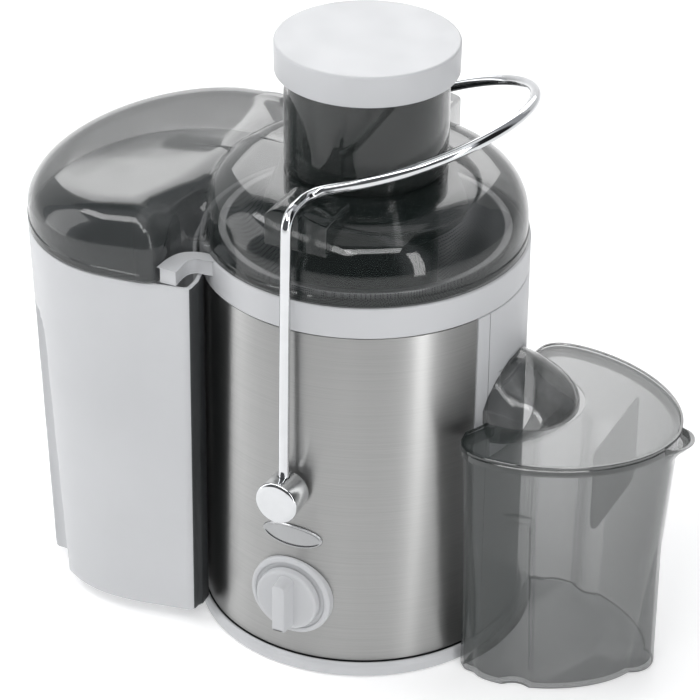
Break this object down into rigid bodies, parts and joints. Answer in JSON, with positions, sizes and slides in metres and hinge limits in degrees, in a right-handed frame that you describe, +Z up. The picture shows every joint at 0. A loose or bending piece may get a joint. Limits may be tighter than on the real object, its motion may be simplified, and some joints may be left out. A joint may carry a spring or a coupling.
{
  "type": "centrifugal juicer",
  "caption": "Upright centrifugal juicer with a steel-fronted motor base, smoke lid and wide feed tube, wire locking arm, pulp container and juice jug.",
  "frame": {"origin": "centre of the bounding box at the level of the feet, which is on the motor axis", "axes": "+Z up along the motor axis, -Y towards the control knob, +X towards the spout and the juice jug"},
  "size_m": [0.39, 0.2192, 0.347],
  "materials": {
    "grey_plastic": "satin light grey",
    "dark_plastic": "matte dark grey",
    "smoke_plastic": "clear smoke, glossy",
    "clear_smoke_plastic": "clear light smoke, glossy",
    "brushed_steel": "brushed",
    "chrome": "polished",
    "steel": "satin",
    "copper_alloy": "satin",
    "rubber": "matte"
  },
  "bodies": {
    "base": {"main_housing": "grey_plastic", "steel_panel": "brushed_steel", "base_ring": "grey_plastic", "bottom_plate": "dark_plastic", "foot_1": "rubber", "foot_2": "rubber", "foot_3": "rubber", "foot_4": "rubber", "bottom_screw_1": "steel", "bottom_screw_2": "steel", "bottom_screw_3": "steel", "juice_bowl": "grey_plastic", "deck_seal": "rubber", "spout": "smoke_plastic", "pivot_bush_front": "grey_plastic", "pivot_bush_back": "grey_plastic", "pivot_pin_front": "steel", "pivot_pin_back": "steel", "switch_plate": "grey_plastic", "badge": "chrome", "rotary_switch": "dark_plastic", "safety_switch": "dark_plastic", "cord_grommet": "rubber", "lid": "smoke_plastic", "motor_stator": "steel", "field_coil_right": "copper_alloy", "field_coil_left": "copper_alloy", "motor_bracket_upper": "steel", "motor_bracket_lower": "steel", "bearing_upper": "copper_alloy", "bearing_lower": "copper_alloy", "motor_bolt_right": "steel", "motor_bolt_left": "steel", "mount_damper_1": "rubber", "mount_damper_2": "rubber", "mount_damper_3": "rubber", "mount_damper_4": "rubber", "brush_holder_front": "copper_alloy", "brush_holder_back": "copper_alloy"},
    "rotor": {"motor_shaft": "steel", "armature": "steel", "commutator": "copper_alloy", "cooling_fan": "dark_plastic", "drive_coupling": "dark_plastic", "filter_basket": "steel", "grater_disc": "steel"},
    "knob": {"control_knob": "grey_plastic"},
    "arm": {"locking_arm": "chrome", "arm_knob_front": "chrome", "arm_knob_back": "chrome"},
    "pusher": {"pusher_body": "dark_plastic", "pusher_cap": "grey_plastic"},
    "container": {"pulp_container": "grey_plastic"},
    "jug": {"juice_jug": "clear_smoke_plastic"},
    "jug_cover": {"jug_lid": "clear_smoke_plastic", "foam_separator": "clear_smoke_plastic"}
  },
  "joints": [
    {"name": "rotor_spin", "type": "hinge", "parent": "base", "child": "rotor", "pos_m": [0, 0, 0.1], "axis": [0, 0, 1], "continuous": true},
    {"name": "knob_turn", "type": "hinge", "parent": "base", "child": "knob", "pos_m": [0, -0.1, 0.0486], "axis": [0, -1, 0], "range_deg": [0, 90]},
    {"name": "arm_swing", "type": "hinge", "parent": "base", "child": "arm", "pos_m": [0, 0, 0.1186], "axis": [0, 1, 0], "range_deg": [0, 60]},
    {"name": "pusher_lift", "type": "slide", "parent": "base", "child": "pusher", "axis": [0, 0, 1], "range_m": [0, 0.14]},
    {"name": "container_slide", "type": "slide", "parent": "base", "child": "container", "axis": [-1, 0, 0], "range_m": [0, 0.14]},
    {"name": "jug_slide", "type": "slide", "parent": "base", "child": "jug", "axis": [1, 0, 0], "range_m": [0, 0.16]},
    {"name": "jug_lid_lift", "type": "slide", "parent": "jug", "child": "jug_cover", "axis": [0, 0, 1], "range_m": [0, 0.06]}
  ]
}
